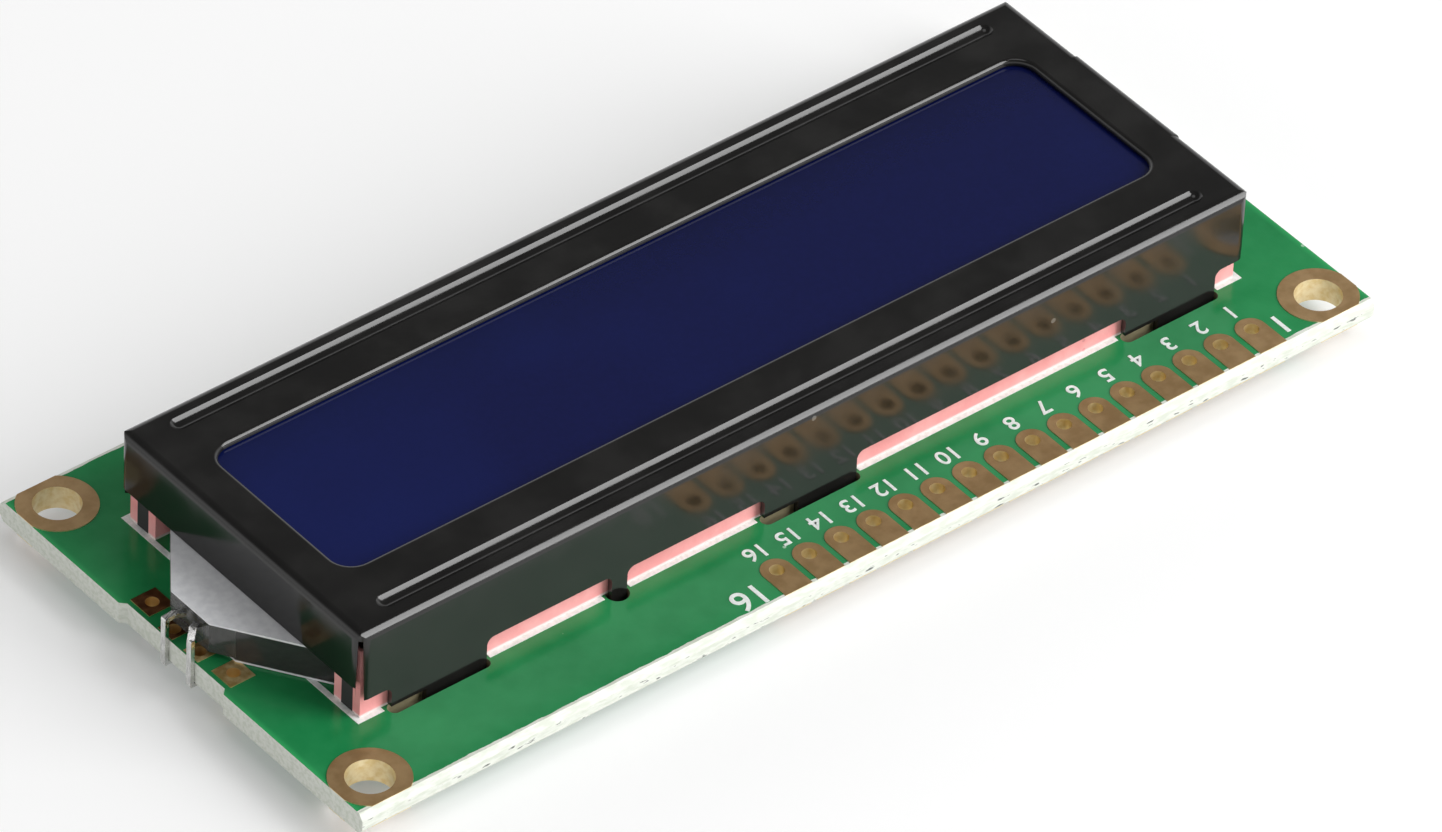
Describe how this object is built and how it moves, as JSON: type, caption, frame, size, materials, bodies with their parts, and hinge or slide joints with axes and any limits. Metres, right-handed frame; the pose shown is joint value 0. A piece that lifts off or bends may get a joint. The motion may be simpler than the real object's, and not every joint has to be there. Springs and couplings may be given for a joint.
{
  "type": "character lcd module",
  "caption": "Character display module: a blue liquid crystal cell under a black pressed steel bezel on a green circuit board, lit from one end through a clear light guide.",
  "frame": {"origin": "centre of the rectangle of the four mounting holes, on the underside of the circuit board", "axes": "+X to the right as the display is read, towards the lamp end; +Y towards the long edge with the row of connection holes; +Z out of the display's face"},
  "size_m": [0.08, 0.036, 0.0102],
  "materials": {
    "board": "satin green solder mask over glass epoxy laminate",
    "plating": "bright gold coloured plating in the holes, with a matt ring",
    "pad_gold": "matt brownish gold pads with bright holes",
    "pad_tinned": "bright pale gold",
    "white_ink": "matt printed ink",
    "black_steel": "gloss black enamel on thin steel sheet",
    "display_blue": "smooth dark blue polarizer film",
    "clear_glass": "clear polished glass",
    "seal": "matt resin",
    "pink_rubber": "matt pink silicone rubber",
    "carbon_rubber": "fine dark stripes of conductive rubber between clear ones",
    "clear_acrylic": "clear moulded acrylic with polished edges",
    "white_film": "matt white plastic film",
    "clear_epoxy": "slightly grey clear moulded epoxy",
    "phosphor": "matt pale yellow resin",
    "tinned_metal": "bright tin plate",
    "solder": "bright solder",
    "black_epoxy": "satin black poured epoxy",
    "silicon": "smooth grey silicon",
    "resistor": "black film on white ceramic with tinned ends",
    "capacitor": "tan ceramic with tinned ends"
  },
  "bodies": {
    "root": {"printed_circuit_board": "board", "mounting_hole_plating": "plating", "header_pads": "pad_gold", "lamp_pads": "pad_tinned", "printed_outline": "white_ink", "bezel": "black_steel", "front_polarizer": "display_blue", "front_glass": "clear_glass", "cell_seal": "seal", "fill_port_plug": "seal", "rear_glass": "clear_glass", "rear_polarizer": "display_blue", "contact_strip_near": "pink_rubber", "contact_strip_far": "pink_rubber", "contact_core_near": "carbon_rubber", "contact_core_far": "carbon_rubber", "light_guide": "clear_acrylic", "diffuser_film": "white_film", "reflector_film": "white_film", "nose_film": "white_film", "lamp_body": "clear_epoxy", "lamp_phosphor": "phosphor", "lamp_leg_near": "tinned_metal", "lamp_leg_far": "tinned_metal", "leg_solder_near": "solder", "leg_solder_far": "solder", "controller_dome": "black_epoxy", "driver_dome": "black_epoxy", "controller_die": "silicon", "driver_die": "silicon", "resistor_1": "resistor", "resistor_2": "resistor", "resistor_3": "resistor", "resistor_4": "resistor", "resistor_5": "resistor", "resistor_6": "resistor", "resistor_7": "resistor", "resistor_8": "resistor", "capacitor_1": "capacitor", "capacitor_2": "capacitor", "capacitor_3": "capacitor"}
  },
  "joints": []
}
